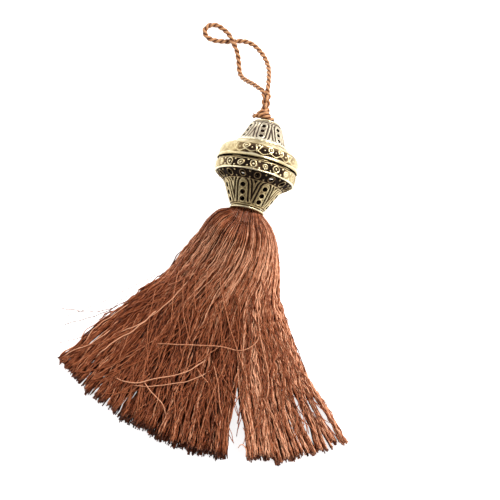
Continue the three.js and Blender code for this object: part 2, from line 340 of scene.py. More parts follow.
def cord_material():
    """Twisted rayon cord: light copper fibres, with painted shade where the plies meet."""
    material, nodes, links, shader = new_material("twisted_cord")
    tone = attribute(nodes, "tone")
    fibres = noise(nodes, links, 3200, 3, 0.7)
    level = math_node(nodes, links, "ADD", tone.outputs["Fac"], swing(nodes, links, fibres, 0.5), True)
    colours = ramp(nodes, [(0.0, (0.035, 0.008, 0.0025)), (0.3, (0.15, 0.040, 0.009)),
                           (0.65, (0.27, 0.110, 0.042)), (1.0, (0.43, 0.215, 0.098))])
    links.new(level, colours.inputs["Fac"])
    links.new(colours.outputs["Color"], shader.inputs["Base Color"])
    shader.inputs["Roughness"].default_value = 0.5
    shader.inputs["Sheen Weight"].default_value = 0.18
    shader.inputs["Sheen Tint"].default_value = (1.0, 0.74, 0.55, 1)
    shader.inputs["Specular Tint"].default_value = (1.0, 0.80, 0.64, 1)
    shader.inputs["Sheen Roughness"].default_value = 0.4
    bump(nodes, links, shader, fibres.outputs["Fac"], 0.5, 0.00008)
    return material


YARN_COLOURS = [(0.0, (0.010, 0.0015, 0.0004)), (0.25, (0.058, 0.0105, 0.0030)),
                (0.5, (0.165, 0.038, 0.0125)), (0.75, (0.33, 0.105, 0.044)), (1.0, (0.62, 0.30, 0.175))]


def yarn_material(name, roughness):
    """Silky rayon floss: each strand has its own tone, which also carries painted light and shade, mottled
    along its length.
    """
    material, nodes, links, shader = new_material(name)
    tone = attribute(nodes, "tone")
    streaks = noise(nodes, links, 950, 3, 0.65)
    level = math_node(nodes, links, "ADD", tone.outputs["Fac"], swing(nodes, links, streaks, 0.5), True)
    colours = ramp(nodes, YARN_COLOURS)
    links.new(level, colours.inputs["Fac"])
    links.new(colours.outputs["Color"], shader.inputs["Base Color"])
    shader.inputs["Roughness"].default_value = roughness
    shader.inputs["Specular IOR Level"].default_value = 0.34
    shader.inputs["Specular Tint"].default_value = (1.0, 0.72, 0.6, 1)
    return material


# ---------------------------------------------------------------- cord

CORD_STEP = 0.16
PLY_PITCH = 3.7
PLY_SIDES = 14
PLY_OFFSET = 0.225  # of the cord's diameter, from its middle to a ply's middle
PLY_RADIUS = 0.335  # of the cord's diameter


def stem_axis(share):
    """A point on the stem's middle line, from 0 at the knot to 1 at its free end."""
    low = np.array([KNOT[0] - 0.1, KNOT[1] + 1.3, KNOT[2]])
    middle = np.array([-1.75, 34.3, 12.0])
    return (1 - share) ** 2 * low + 2 * share * (1 - share) * middle + share ** 2 * STEM_END


def stem_leg(side):
    """One leg's route up the stem; side is 1 for the right leg and -1 for the left."""
    route = []
    for i in range(11):
        share = i / 10
        angle = (1 - share) * TAU * 1.05
        outward = np.array([math.cos(angle), 0.15 * math.cos(angle), math.sin(angle)])
        route.append(stem_axis(share) + 0.47 * CORD_DIAMETER * side * outward)
    return route


def loop_route():
    lying = CORD_FLOOR
    hump = CORD_FLOOR + CORD_DIAMETER + 0.35
    right_leg = [(-2.2, 38.3, 11.1), (-2.3, 40.0, 10.3), (-2.7, 42.8, 9.0), (-3.4, 46.1, 7.0),
                 (-5.0, 49.1, 5.2), (-7.1, 51.5, 3.5), (-9.9, 53.5, 1.9), (-13.0, 54.0, 1.0),
                 (-15.9, 53.2, lying)]
    eye = [(-18.7, 52.6, lying), (-21.4, 52.3, lying), (-23.6, 52.8, lying), (-24.8, 54.4, lying),
           (-24.0, 56.3, lying), (-21.7, 57.0, lying + 0.1), (-19.1, 56.0, 1.3), (-17.2, 54.5, 2.1)]
    left_leg = [(-15.8, 52.7, hump), (-14.2, 50.8, 1.9), (-13.0, 48.5, 1.1), (-12.2, 46.1, lying),
                (-11.6, 44.3, 0.9), (-10.5, 42.7, 2.0), (-9.0, 41.5, 4.1), (-6.9, 40.3, 6.6),
                (-5.1, 39.1, 8.6), (-3.7, 38.1, 10.1)]
    return stem_leg(1) + right_leg + eye + left_leg + stem_leg(-1)[::-1]


def two_ply(path, diameter, pitch):
    """Two plies twisted round a path, as tube parts and the tone of each of their points, with painted shade
    where the plies face each other.
    """
    side, up = carried_frames(path)
    length = np.concatenate([[0], np.cumsum(np.linalg.norm(np.diff(path, axis=0), axis=1))])
    parts, tones = [], []
    for ply in range(2):
        angle = length / pitch * TAU + ply * math.pi
        outward = np.cos(angle)[:, None] * side + np.sin(angle)[:, None] * up
        centre = path + outward * diameter * PLY_OFFSET
        ply_side, ply_up = carried_frames(centre)
        parts.append(tube_mesh(centre, ply_side, ply_up, diameter * PLY_RADIUS, PLY_SIDES,
                               ripple=0.07, ripples=5, ripple_turn=length[-1] / pitch * TAU * 2.5))
        points = parts[-1][0].reshape(len(path), PLY_SIDES, 3)
        # Painted shade: points on the sides of the plies that face each other get a dark tone, points on
        # their outer sides a light one.
        reach = np.einsum("nsk,nk->ns", points - path[:, None], outward) / diameter
        tones.append((2.5 * np.clip(reach, 0, 0.56) - 0.42).ravel())
    return parts, np.concatenate(tones)


def build_loop(material):
    path = catmull_rom(loop_route(), CORD_STEP)
    parts, tones = two_ply(path, CORD_DIAMETER, PLY_PITCH)
    points, faces = joined(parts)
    cord = mesh_object("loop_cord", placed(points), faces, {"tone": tones})
    finished(cord, material, None, ["hanging_loop", "loop_stem"])
    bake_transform(cord)


def build_knot(material):
    """An overhand knot of the same cord: a cut end on the left, two turns and a side loop on the right."""
    x, y, z = KNOT
    route = [(x - 3.1, y - 0.85, z - 0.2), (x - 2.0, y - 0.7, z + 0.5), (x - 0.9, y - 0.4, z + 1.25),
             (x + 0.6, y - 0.6, z + 1.35), (x + 2.1, y - 0.85, z + 0.75), (x + 2.75, y - 0.9, z - 0.1),
             (x + 1.9, y - 0.8, z - 1.0), (x + 0.2, y - 0.6, z - 1.35), (x - 1.2, y - 0.1, z - 1.1),
             (x - 1.75, y + 0.3, z + 0.0), (x - 1.1, y + 0.55, z + 1.1), (x + 0.1, y + 0.5, z + 1.35),
             (x + 1.1, y + 0.25, z + 0.5), (x + 0.9, y + 0.3, z - 0.7), (x - 0.2, y + 0.7, z - 0.95),
             (x - 1.0, y + 1.0, z - 0.2), (x - 0.4, y + 1.25, z + 0.5), (x + 0.3, y + 1.5, z + 0.1)]
    path = catmull_rom(route, CORD_STEP)
    parts, tones = two_ply(path, CORD_DIAMETER * 1.02, PLY_PITCH * 0.9)
    random = np.random.RandomState(5)
    fray_tones = []
    tip = path[0]
    for _ in range(26):
        outward = np.array([-1.0, 0.1, 0]) + random.normal(0, 0.45, 3)
        outward /= np.linalg.norm(outward)
        root = tip + random.normal(0, 0.24, 3) + [0.35, 0, 0]
        reach = random.uniform(0.7, 1.3)
        curl = random.normal(0, 0.2, 3)
        fibre = np.array([root + outward * reach * s + curl * s * s for s in np.linspace(0, 1, 6)])
        side, up = carried_frames(fibre)
        parts.append(tube_mesh(fibre, side, up, 0.055, 4))
        fray_tones.append(np.full(24, random.uniform(0.25, 0.8)))
    points, faces = joined(parts)
    knot = mesh_object("knot_cord", placed(points), faces, {"tone": np.concatenate([tones] + fray_tones)})
    finished(knot, material, "core", ["top_knot"])


def build_core_cord(material):
    """The doubled cord inside the bead: two legs and the U that holds the folded yarn."""
    half = [(0.8, 29.6), (0.8, 24), (0.8, 19), (0.9, 14), (1.9, 8.6), (3.0, 4.4), (3.1, 2.2), (2.8, 0.8),
            (2.0, 0.0), (1.1, -0.2)]
    route = [(x, y, AXIS_HEIGHT) for x, y in half] + [(0, -0.2, AXIS_HEIGHT)]
    route += [(-x, y, AXIS_HEIGHT) for x, y in half[::-1]]
    path = catmull_rom(route, 0.25)
    parts, tones = two_ply(path, CORD_DIAMETER, PLY_PITCH)
    points, faces = joined(parts)
    # Painted shade inside the bead: this cord's tone is cut to a fifth.
    piece = mesh_object("core_cord_plies", placed(points), faces, {"tone": tones * 0.2})
    finished(piece, material, "core", ["core_cord"])


# ---------------------------------------------------------------- bead

HOLE_COLUMNS = 7
BAND_MARKS = 20
SHELL_TURN_STEPS = 400
WALL = 0.6

# Outlines of the two shells as (radius, y), from the skirt's side towards the knot's.
UPPER_OUTLINE = [(12.28, 14.35), (12.42, 14.6), (12.25, 14.95), (12.1, 15.3), (12.1, 16.2), (12.0, 17.3),
                 (11.65, 18.2), (10.9, 18.95), (9.6, 19.6), (8.35, 20.3), (7.85, 20.75), (7.65, 21.1),
                 (7.2, 21.7), (6.5, 23.2), (5.7, 25.0), (5.1, 26.4), (4.65, 27.4), (4.0, 27.7)]
LOWER_OUTLINE = [(4.95, 0.95), (5.3, 1.3), (5.65, 1.9), (6.6, 3.7), (7.75, 6.0), (8.6, 7.6), (9.2, 8.2),
                 (9.8, 8.75), (10.6, 9.3), (11.25, 9.75), (11.75, 10.25), (12.0, 10.7), (12.2, 11.4),
                 (12.3, 12.3), (12.3, 13.3), (12.1, 13.75), (12.0, 14.05)]
# Rows of holes: half their width and height, the first one's turn in degrees, and how many go round.
UPPER_HOLES = {"wide": 0.62, "tall": 0.46, "turn": -8, "count": HOLE_COLUMNS, "along": (25.75, 24.05, 22.3)}
LOWER_HOLES = {"wide": 0.74, "tall": 0.66, "turn": -21.5, "count": HOLE_COLUMNS, "along": (6.3, 4.25, 2.4)}
RECESS_HOLES = {"wide": 0.70, "tall": 0.62, "turn": 4.2, "count": 2 * HOLE_COLUMNS, "along": (9.15,)}


def outline_samples(outline, rows):
    """Radius, y, outward normal and arc length at evenly spaced rows of a smoothed outline."""
    flat = np.array([(r, y, 0.0) for r, y in outline])
    curve = catmull_rom(flat, 0.02)
    reach = np.concatenate([[0], np.cumsum(np.linalg.norm(np.diff(curve, axis=0), axis=1))])
    at = np.linspace(0, reach[-1], rows)
    r = np.interp(at, reach, curve[:, 0])
    y = np.interp(at, reach, curve[:, 1])
    dr, dy = np.gradient(r), np.gradient(y)
    size = np.hypot(dr, dy)
    return r, y, dy / size, -dr / size, at


def wire(distance, width):
    """A raised round line, 0 to 1, by the distance from its middle."""
    return np.exp(-(distance / width) ** 2)


def pearl(distance, radius):
    """A raised round dot with a flat top, 0 to 1."""
    return np.exp(-(distance / radius) ** 4)


def between(low, high, y, soft=0.2):
    """1 between two heights and 0 beyond them."""
    return smoothstep(low, low + soft, y) * (1 - smoothstep(high - soft, high, y))


def sector_offset(turn, radius, first, count):
    """Distance in mm round the bead to the nearest of count evenly spaced places."""
    step = TAU / count
    off = (turn - math.radians(first) + step / 2) % step - step / 2
    return off * radius


def facing_share(turn, middle, half_width):
    """1 on the side of the bead that a turn in degrees points to, falling to 0 beside it."""
    off = np.degrees(np.abs((turn - math.radians(middle) + math.pi) % TAU - math.pi))
    return 1 - smoothstep(half_width * 0.45, half_width, off)


def arched_cone(turn, radius, y, holes, low, high, ends, frame, spacing, depth):
    """A cone's relief: columns of holes in arched frames, each nested in more arches like it."""
    column = sector_offset(turn, radius, holes["turn"], HOLE_COLUMNS)
    past_end = np.maximum(y - ends[1], 0) + np.maximum(ends[0] - y, 0)
    arch = np.hypot(column, past_end)
    outside = smoothstep(frame, frame + 0.25, arch)
    groove = (0.5 - 0.5 * np.cos((arch - frame) / spacing * TAU)) ** 1.4
    within = between(low, high, y, 0.3)
    height = -depth * groove * outside * within
    height += within * (0.12 * wire(arch - frame, 0.2) - 0.14 * (1 - outside))
    for place in holes["along"]:
        rim = np.hypot(column / (holes["wide"] + 0.14), (y - place) / (holes["tall"] + 0.16))
        height += 0.12 * wire(rim - 1, 0.22)
    return height


def hand_cast(turn, y):
    """Turns and heights bent a little, as in a casting from a hand-made model."""
    bent_turn = turn + 0.016 * np.sin(5 * turn + 1.0 + 0.9 * y) + 0.008 * np.sin(13 * turn + 2.0)
    bent_y = y + 0.10 * np.sin(9 * turn + 0.5) + 0.07 * np.sin(17 * turn + 1.3 * y)
    return bent_turn, bent_y


def upper_relief(turn, radius, y):
    height = arched_cone(turn, radius, y, UPPER_HOLES, 21.4, 27.0, (22.5, 25.7), 0.95, 1.02, 0.29)
    height -= 0.36 * wire(y - 27.25, 0.2)
    petal = np.cos(turn * 28)
    height += 0.18 * wire(y - 20.95 - 0.12 * petal, 0.17) - 0.14 * wire(y - 20.5, 0.15)
    height += 0.07 * between(18.8, 20.4, y) * np.cos(turn * 20) * np.cos((y - 19.5) * 1.6)
    turn, y = hand_cast(turn, y)
    off = sector_offset(turn, radius, -4, BAND_MARKS)
    number = np.round((turn - math.radians(-4)) / (TAU / BAND_MARKS)).astype(int) % BAND_MARKS
    ring = np.hypot(off, y - 17.5)
    ring_marks = np.maximum(wire(ring - 0.82, 0.21), pearl(ring, 0.36))
    fork = np.abs(np.abs(off) - 0.45 * (y - 16.0))
    heart = np.maximum(wire(fork, 0.24) * between(15.7, 18.3, y), pearl(np.hypot(off, y - 18.0), 0.4))
    marks = np.where(number % 3 == 0, heart, ring_marks)
    vine = y - 15.95 - 0.34 * np.cos(turn * BAND_MARKS + math.radians(80))
    marks = np.maximum(marks, 0.9 * wire(vine, 0.20))
    seed = np.hypot(sector_offset(turn, radius, 5, BAND_MARKS), y - 16.9)
    marks = np.maximum(marks, pearl(seed, 0.26))
    kept = 0.16 + 0.84 * np.maximum(facing_share(turn, 10, 60), facing_share(turn, 180, 95))
    height += between(15.2, 18.75, y, 0.25) * (marks - 0.68) * 0.34 * kept
    height += 0.12 * wire(y - 15.05, 0.16)
    # Painted shade on the band's ground, on the bead's upper side.
    shade = 0.26 * facing_share(turn, 6, 38) * between(15.2, 18.0, y, 0.5) * (1 - marks)
    return height, shade


def lower_relief(turn, radius, y):
    height = arched_cone(turn, radius, y, LOWER_HOLES, 1.45, 8.1, (0.0, 6.5), 1.15, 1.1, 0.40)
    height -= 0.28 * wire(y - 1.3, 0.15)
    recess = between(8.0, 10.35, y, 0.25)
    first, count = RECESS_HOLES["turn"], RECESS_HOLES["count"]
    hole = np.hypot(sector_offset(turn, radius, first, count), (y - RECESS_HOLES["along"][0]) * 1.3)
    swag = sector_offset(turn, radius, first + 180 / count, count)
    height += recess * (0.34 * wire(hole - 0.95, 0.19) - 0.36)
    for place, size in ((9.75, 0.34), (8.45, 0.30)):
        height += 0.42 * pearl(np.hypot(swag, (y - place) * 1.3), size)
    height += 0.18 * wire(y - 10.5, 0.17)
    turn, y = hand_cast(turn, y)
    off = sector_offset(turn, radius, -6.5, BAND_MARKS)
    number = np.round((turn - math.radians(-6.5)) / (TAU / BAND_MARKS)).astype(int) % BAND_MARKS
    ring = np.hypot(off, y - 12.05)
    size = np.where(number % 2 == 0, 0.98, 0.74)
    marks = np.maximum(wire(ring - size, 0.23), pearl(ring, 0.42))
    gap = sector_offset(turn, radius, 2.5, BAND_MARKS)
    for place in (12.95, 11.15):
        marks = np.maximum(marks, pearl(np.hypot(gap, y - place), 0.32))
    kept = 0.30 + 0.70 * np.maximum(facing_share(turn, -4, 72), facing_share(turn, 180, 95))
    height += between(10.7, 13.45, y, 0.25) * (marks - 0.68) * 0.42 * kept
    height -= 0.30 * wire(y - 13.85, 0.2)
    # Painted shade: on the band's ground in two patches either side of the bead's top, all round the recess
    # and most on its upper side, and on the upper side of the lower cone.
    band_shade = np.maximum(facing_share(turn, -26, 26), facing_share(turn, 25, 22))
    shade = 0.26 * band_shade * between(10.75, 13.4, y, 0.3) * (1 - marks)
    recess_marks = np.clip(np.maximum(wire(hole - 0.95, 0.3), pearl(np.abs(swag), 0.4)), 0, 1)
    shade += recess * (0.10 + 0.26 * facing_share(turn, 4, 55)) * (1 - 0.6 * recess_marks)
    shade += 0.14 * facing_share(turn, 4, 30) * between(1.4, 8.2, y, 0.5)
    return height, shade


def bored_holes(hole_sets, y, r, arc):
    """Each hole's turn, place along the outline, radius of the shell there, and half its width and height."""
    bored = []
    for holes in hole_sets:
        for place in holes["along"]:
            for k in range(holes["count"]):
                turn = (math.radians(holes["turn"]) + k * TAU / holes["count"]) % TAU
                at_arc, at_radius = np.interp(place, y, arc), np.interp(place, y, r)
                bored.append((turn, at_arc, at_radius, holes["wide"], holes["tall"]))
    return bored


def hole_offsets(turn, arc, hole):
    """Turn and arc distance from a hole's middle, and the distance as a share of the hole's size."""
    centre_turn, centre_arc, centre_radius, wide, tall = hole
    off = (turn - centre_turn + math.pi) % TAU - math.pi
    rise = arc - centre_arc
    return off, rise, np.hypot(off * centre_radius / wide, rise / tall)


def open_holes(turn, arc_grid, bored):
    """Marks the faces left between holes, and moves the grid points beside each hole onto its rim."""
    rows, columns = turn.shape
    gone = np.zeros((rows - 1, columns), bool)
    face_turn = turn[:-1] + TAU / columns / 2
    face_arc = (arc_grid[:-1] + arc_grid[1:]) / 2
    for hole in bored:
        gone |= hole_offsets(face_turn, face_arc, hole)[2] < 1
    kept = ~gone
    touches_gone = np.zeros((rows, columns), bool)
    touches_kept = np.zeros((rows, columns), bool)
    for mask, touched in ((gone, touches_gone), (kept, touches_kept)):
        touched[:-1] |= mask | np.roll(mask, 1, axis=1)
        touched[1:] |= mask | np.roll(mask, 1, axis=1)
    rim = touches_gone & touches_kept
    for hole in bored:
        off, rise, away = hole_offsets(turn, arc_grid, hole)
        near = rim & (away < 1.6)
        scale = 1 / np.maximum(away[near], 1e-6)
        turn[near] += off[near] * (scale - 1)
        arc_grid[near] += rise[near] * (scale - 1)
    return kept, rim


def pierced_shell(name, outline, rows, relief, hole_sets, material, node):
    """A thin shell of revolution with relief outside, through-holes, and closed rims."""
    columns = SHELL_TURN_STEPS
    r, y, normal_r, normal_y, arc = outline_samples(outline, rows)
    turn = (np.arange(columns) / columns * TAU)[None].repeat(rows, axis=0)
    arc_grid = arc[:, None].repeat(columns, axis=1)
    bored = bored_holes(hole_sets, y, r, arc)
    kept, rim = open_holes(turn, arc_grid, bored)
    radius_grid = np.interp(arc_grid, arc, r)
    y_grid = np.interp(arc_grid, arc, y)
    nr, ny = np.interp(arc_grid, arc, normal_r), np.interp(arc_grid, arc, normal_y)
    height, shade = relief(turn, radius_grid, y_grid)
    outer_r, outer_y = radius_grid + nr * height, y_grid + ny * height
    inner_r, inner_y = radius_grid - nr * WALL, y_grid - ny * WALL
    inner_y = np.clip(inner_y, outer_y.min(), outer_y.max())

    def around(radius, along):
        skin = np.stack([radius * np.sin(turn), along, radius * np.cos(turn) + AXIS_HEIGHT], axis=-1)
        return skin.reshape(-1, 3)

    points = np.concatenate([around(outer_r, outer_y), around(inner_r, inner_y)])
    faces = shell_faces(kept, rows, columns)
    used = np.unique(faces)
    renumber = np.full(len(points), -1)
    renumber[used] = np.arange(len(used))
    # The colour level: bright where the relief stands out, dark patina where it is low, less the painted
    # shade.
    level = np.clip(0.68 + height * 1.7 - shade, 0, 1)
    nearest_hole = np.minimum.reduce([hole_offsets(turn, arc_grid, hole)[2] for hole in bored])
    # Painted shade in and round the holes: the hole rims and the whole inner skin get the darkest level.
    level[rim & (nearest_hole < 1.05)] = 0
    relief_level = np.concatenate([level.ravel(), np.zeros(rows * columns)])
    # Painted reflection: the upper cone takes the paler, greyer ramp.
    painted_reflection = np.tile(smoothstep(20.0, 21.6, y_grid).ravel(), 2)
    attributes = {"relief": relief_level[used], "painted_reflection": painted_reflection[used]}
    piece = mesh_object(name, placed(points[used]), renumber[faces], attributes)
    return finished(piece, material, "bead", [node])


def shell_faces(kept, rows, columns):
    """Quads of a shell's outer and inner skins, and of the walls that close its holes and its rims."""
    inner_start = rows * columns
    gone = ~kept
    i = np.arange(rows - 1)[:, None] * columns
    j = np.arange(columns)[None]
    k = (j + 1) % columns
    a, b, c, d = i + j, i + k, i + columns + k, i + columns + j
    outer = np.stack([a, b, c, d], axis=-1)[kept]
    inner = np.stack([a, d, c, b], axis=-1)[kept] + inner_start
    walls = []
    neighbours = ((a, b, np.vstack([np.ones((1, columns), bool), gone[:-1]])),
                  (c, d, np.vstack([gone[1:], np.ones((1, columns), bool)])),
                  (d, a, np.roll(gone, 1, axis=1)),
                  (b, c, np.roll(gone, -1, axis=1)))
    for start, end, open_side in neighbours:
        edge = kept & open_side
        start, end = np.broadcast_to(start, kept.shape)[edge], np.broadcast_to(end, kept.shape)[edge]
        walls.append(np.stack([end, start, start + inner_start, end + inner_start], axis=-1))
    return np.concatenate([outer, inner] + walls)


def rim_ring(name, outline, material, node, wobble):
    """A turned ring with a rounded section, slightly hammered."""
    section = catmull_rom([(r, y, 0.0) for r, y in outline + outline[:1]], 0.07)[:-1]
    columns = 240
    turn = np.arange(columns) / columns * TAU
    dents = 1 + wobble * (np.sin(5 * turn + 0.6) + 0.7 * np.sin(11 * turn + 2.0) + 0.4 * np.sin(23 * turn))
    r = section[:, 0][:, None] * (1 + (dents - 1)[None])
    along = section[:, 1][:, None].repeat(columns, axis=1)
    points = np.stack([r * np.sin(turn), along, r * np.cos(turn) + AXIS_HEIGHT], axis=-1)
    rows = len(section)
    i = (np.arange(rows)[:, None] * columns)
    n = ((np.arange(rows)[:, None] + 1) % rows) * columns
    j = np.arange(columns)[None]
    k = (j + 1) % columns
    faces = np.stack([i + j, i + k, n + k, n + j], axis=-1).reshape(-1, 4)
    mean = section[:, 0].mean()
    level = 0.5 + 0.42 * smoothstep(mean - 0.2, section[:, 0].max(), r)
    piece = mesh_object(name, placed(points.reshape(-1, 3)), faces.tolist(), {"relief": level.ravel()})
    return finished(piece, material, "bead", [node])


ANTIQUE_BRASS = [(0.0, (0.012, 0.006, 0.003)), (0.22, (0.050, 0.027, 0.014)), (0.42, (0.17, 0.115, 0.056)),
                 (0.58, (0.38, 0.30, 0.155)), (0.75, (0.56, 0.47, 0.28)), (0.95, (0.72, 0.66, 0.48))]
# Paler, greyer stops for the upper cone: a painted reflection.
PAINTED_REFLECTION_BRASS = [(0.0, (0.016, 0.010, 0.010)), (0.22, (0.060, 0.042, 0.036)), (0.42, (0.20, 0.155, 0.115)),
                  (0.58, (0.42, 0.36, 0.26)), (0.75, (0.56, 0.51, 0.39)), (0.95, (0.72, 0.69, 0.57))]
PALE_BRASS = [(0.0, (0.05, 0.03, 0.015)), (0.35, (0.20, 0.15, 0.07)), (0.65, (0.43, 0.345, 0.18)),
              (0.95, (0.64, 0.56, 0.37))]


TOP_RING = [(2.3, 27.9), (2.9, 27.82), (3.5, 27.72), (3.85, 27.78), (3.95, 27.98), (3.75, 28.2),
            (3.3, 28.38), (2.8, 28.44), (2.35, 28.36), (2.2, 28.1)]
BOTTOM_RING = [(4.45, 0.05), (4.9, 0.0), (5.2, 0.1), (5.34, 0.34), (5.2, 0.6), (4.8, 0.72), (4.45, 0.7),
               (4.38, 0.4)]


def build_bead():
    antique = brass_material("antique_brass", ANTIQUE_BRASS, PAINTED_REFLECTION_BRASS)
    pale = brass_material("pale_brass", PALE_BRASS)
    pierced_shell("upper_shell_relief", UPPER_OUTLINE, 112, upper_relief, [UPPER_HOLES], antique,
                  "upper_shell")
    pierced_shell("lower_shell_relief", LOWER_OUTLINE, 116, lower_relief, [LOWER_HOLES, RECESS_HOLES],
                  antique, "lower_shell")
    rim_ring("top_collar_ring", TOP_RING, pale, "top_collar", 0.006)
    rim_ring("bottom_collar_ring", BOTTOM_RING, pale, "bottom_collar", 0.004)


# ---------------------------------------------------------------- skirt of yarn

STRAND_SIDES = 4
LOCK_START = 5.0
SIDE_ROUNDNESS = 0.93
WHORL = 0.42  # how far right of the axis the strands gather at the neck

# How far the skirt's edge stands from straight down the axis, in degrees, by distance from the neck.
LEFT_EDGE = [(5, 88), (6.4, 86), (8.2, 82), (9.4, 77.5), (11, 71.5), (14.5, 59.5), (19.7, 49.5), (29.6, 41),
             (45, 40), (74, 38.6)]
RIGHT_EDGE = [(5, 86), (6.2, 80), (7.4, 75), (8.8, 70.5), (10.1, 66.6), (13.9, 56), (18.7, 45), (27.8, 34.6),
              (42, 33.9), (77, 37.5)]
# Heights of the skirt's crown, underside and widest part along its middle, by distance from the neck.
CROWN = [(5, 17.2), (9, 18.6), (14, 17.0), (22, 13.4), (34, 10.0), (52, 7.4), (77, 5.4)]
UNDERSIDE = [(5, 7.6), (9, 3.2), (12, 0.7), (14, 0), (77, 0)]
WAIST = [(5, AXIS_HEIGHT), (9, 8.6), (12, 4.4), (16, 0), (77, 0)]
# Where the strands part: a fraction of the edge angle, and half the gap in mm by distance from the neck.
PARTINGS = [
    {"across": 0.30, "gap": [(49, 0), (54.7, 0.75), (58.7, 1.45), (64.5, 2.7), (78, 3.2)]},
    {"across": 0.81, "gap": [(53, 0), (56, 0.6), (61, 1.0), (66, 1.05), (71, 0.2), (73, 0)]},
    {"across": 0.90, "gap": [(55, 0), (59, 0.5), (63, 0.6), (67, 0), (68, 0)]},
    {"across": 0.955, "gap": [(57, 0), (61, 0.6), (67, 0.8), (72, 0.1), (73, 0)]},
    {"across": 0.885, "gap": [(66, 0), (70, 0.5), (78, 0.8)]},
    {"across": 0.70, "gap": [(68, 0), (72, 0.35), (78, 0.6)]},
    {"across": -0.472, "gap": [(60, 0), (63, 0.55), (66, 0.25), (67.5, 0)]},
    {"across": -0.507, "gap": [(54.5, 0), (56.2, 0.4), (58, 0)]},
    {"across": -0.60, "gap": [(66, 0), (69, 0.55), (76, 0.9)]},
    {"across": -0.70, "gap": [(64, 0), (67, 0.45), (76, 0.7)]},
    {"across": -0.80, "gap": [(63, 0), (66, 0.4), (76, 0.6)]},
    {"across": -0.95, "gap": [(50, 0), (55, 0.5), (60, 0.5), (64, 0), (65, 0)]},
]

CLUMP_WIDTH = 0.045  # as a fraction of the edge angle
# Columns of locks from left to right: their edges as fractions of the skirt's edge angle, the distance of
# their ends from the neck, how far the upper strands end short of the lower ones, how light they are
# (painted light on the right-hand locks, painted shade on the left and middle ones), and where and how
# strongly their clumps draw together towards the ends.
COLUMN_KEYS = ("name", "low", "high", "reach", "trim", "tone", "parts_at", "gather")
COLUMNS = [dict(zip(COLUMN_KEYS, row)) for row in (
    ("left_lock_1", -1, -0.75, 70.4, 0.2, -0.07, 0.78, (0.5, 0.9)),
    ("left_lock_2", -0.75, -0.5, 71.2, 0.2, -0.08, 0.78, (0.5, 0.9)),
    ("left_lock_3", -0.5, -0.25, 71.6, 0.9, -0.09, 0.84, (0.2, 0.6)),
    ("middle_lock_1", -0.25, 0, 72.4, 1.2, -0.08, 0.8, (0.1, 0.5)),
    ("middle_lock_2", 0, 0.3, 73.0, 0.9, -0.05, 0.8, (0.1, 0.5)),
    ("right_lock_1", 0.3, 0.53, 73.6, 0.2, 0.05, 0.8, (0.1, 0.5)),
    ("right_lock_2", 0.53, 0.77, 74.6, 0.2, 0.08, 0.8, (0.2, 0.6)),
    ("right_lock_3", 0.77, 1, 74.2, 0.2, 0.10, 0.7, (0.3, 0.75)),
)]
# Painted light: how much lighter the upper strands are made, by distance from the neck.
PAINTED_LIGHT_LEFT = [(5, -0.02), (9, 0.15), (15, 0.34), (28, 0.21), (40, 0.0), (60, 0.05), (77, 0.12)]
PAINTED_LIGHT_RIGHT = [(5, -0.02), (9, 0.13), (15, 0.23), (28, 0.19), (42, 0.21), (60, 0.18), (77, 0.19)]
LAYER_KEYS = ("name", "low", "high", "stations", "density", "radius", "slot")
LAYERS = [dict(zip(LAYER_KEYS, row)) for row in (
    ("under", 0.0, 0.5, 40, 620, 0.23, "inner_yarn"),
    ("over", 0.5, 1.0, 76, 780, 0.19, "outer_yarn"),
)]
GROUPS = {"left": "left_fan", "middle": "core", "right": "right_lock"}
STRAYS_ON = {"left_lock_2": "left", "middle_lock_1": "middle", "right_lock_2": "right"}


def profile_at(profile, x):
    """Value of a [(x, value)] profile on a smooth curve that doesn't overshoot its points."""
    knots = np.array(profile, float)
    xs, ys = knots[:, 0], knots[:, 1]
    slope = np.diff(ys) / np.diff(xs)
    tangent = np.concatenate([[slope[0]], np.zeros(len(xs) - 2), [slope[-1]]])
    same = slope[:-1] * slope[1:] > 0
    tangent[1:-1][same] = 2 * slope[:-1][same] * slope[1:][same] / (slope[:-1][same] + slope[1:][same])
    x = np.clip(np.asarray(x, float), xs[0], xs[-1])
    i = np.clip(np.searchsorted(xs, x, side="right") - 1, 0, len(xs) - 2)
    width = xs[i + 1] - xs[i]
    t = (x - xs[i]) / width
    return ((1 + 2 * t) * (1 - t) ** 2 * ys[i] + t * (1 - t) ** 2 * width * tangent[i]
            + t * t * (3 - 2 * t) * ys[i + 1] + t * t * (t - 1) * width * tangent[i + 1])


def edge_angle(side, distance):
    return np.where(side < 0, profile_at(LEFT_EDGE, distance), profile_at(RIGHT_EDGE, distance))


def surface_heights(across, distance):
    """Heights of the skirt's underside and crown."""
    roundness = np.sqrt(np.clip(1 - (SIDE_ROUNDNESS * across) ** 2, 0.05, 1))
    waist = profile_at(WAIST, distance)
    crown = waist + (profile_at(CROWN, distance) - waist) * roundness
    underside = waist + (profile_at(UNDERSIDE, distance) - waist) * roundness
    return underside, crown


def skirt_points(across, up, distance, shift):
    """Points of the skirt: across from -1 to 1, up from 0 to 1, distance from the neck in mm."""
    angle = np.radians(across * edge_angle(across, distance)) + shift / distance
    underside, crown = surface_heights(across, distance)
    z = underside + (crown - underside) * up
    return np.stack([distance * np.sin(angle), -distance * np.cos(angle), z], axis=-1)


def resting_height(x, y):
    """Height of the skirt's upper surface over a point, or of the surface it lies on beside it."""
    distance = np.maximum(np.hypot(x, y), LOCK_START)
    angle = np.degrees(np.arctan2(x, -y))
    share = angle / edge_angle(angle, distance)
    crown = surface_heights(np.clip(share, -1, 1), distance)[1]
    beside = smoothstep(0.97, 1.12, np.abs(share))
    return crown * (1 - beside) + 0.25 * beside


def new_sway(random, count, waves):
    """Random amounts and phases of the waves that bend each of count strands."""
    amounts = random.normal(0, 1 / math.sqrt(len(waves)), (count, len(waves)))
    return amounts, random.uniform(0, TAU, (count, len(waves))), waves


